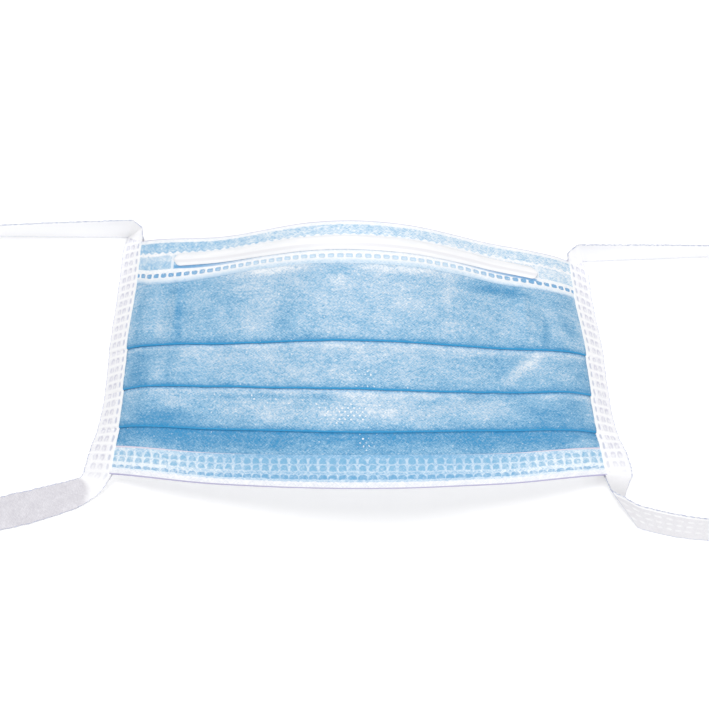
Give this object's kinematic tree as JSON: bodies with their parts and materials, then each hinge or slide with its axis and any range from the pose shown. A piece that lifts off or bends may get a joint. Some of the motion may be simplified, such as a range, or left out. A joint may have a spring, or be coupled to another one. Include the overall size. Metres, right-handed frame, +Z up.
{
  "type": "surgical face mask",
  "caption": "Pleated tie-on surgical face mask lying face up, arched by its bent nose wire, with turned hems, side bindings and the near ends of its ties.",
  "frame": {"origin": "centre of the bounding box, on the surface that the mask lies on", "axes": "+X across the mask towards its right tie as seen from the chin side, +Y towards the nose edge, +Z up and away from the face"},
  "size_m": [0.2368, 0.1112, 0.0415],
  "materials": {
    "outer_cloth": "matt, point bonded",
    "hem_cloth": "matt, welded",
    "white_strip": "matt, welded",
    "coated_wire": "satin"
  },
  "bodies": {
    "root": {"pleated_body": "outer_cloth", "top_hem": "hem_cloth", "bottom_hem": "hem_cloth", "nose_wire": "coated_wire", "left_binding": "white_strip", "right_binding": "white_strip", "upper_left_tie": "white_strip", "upper_right_tie": "white_strip", "lower_left_tie": "white_strip", "lower_right_tie": "white_strip"}
  },
  "joints": []
}
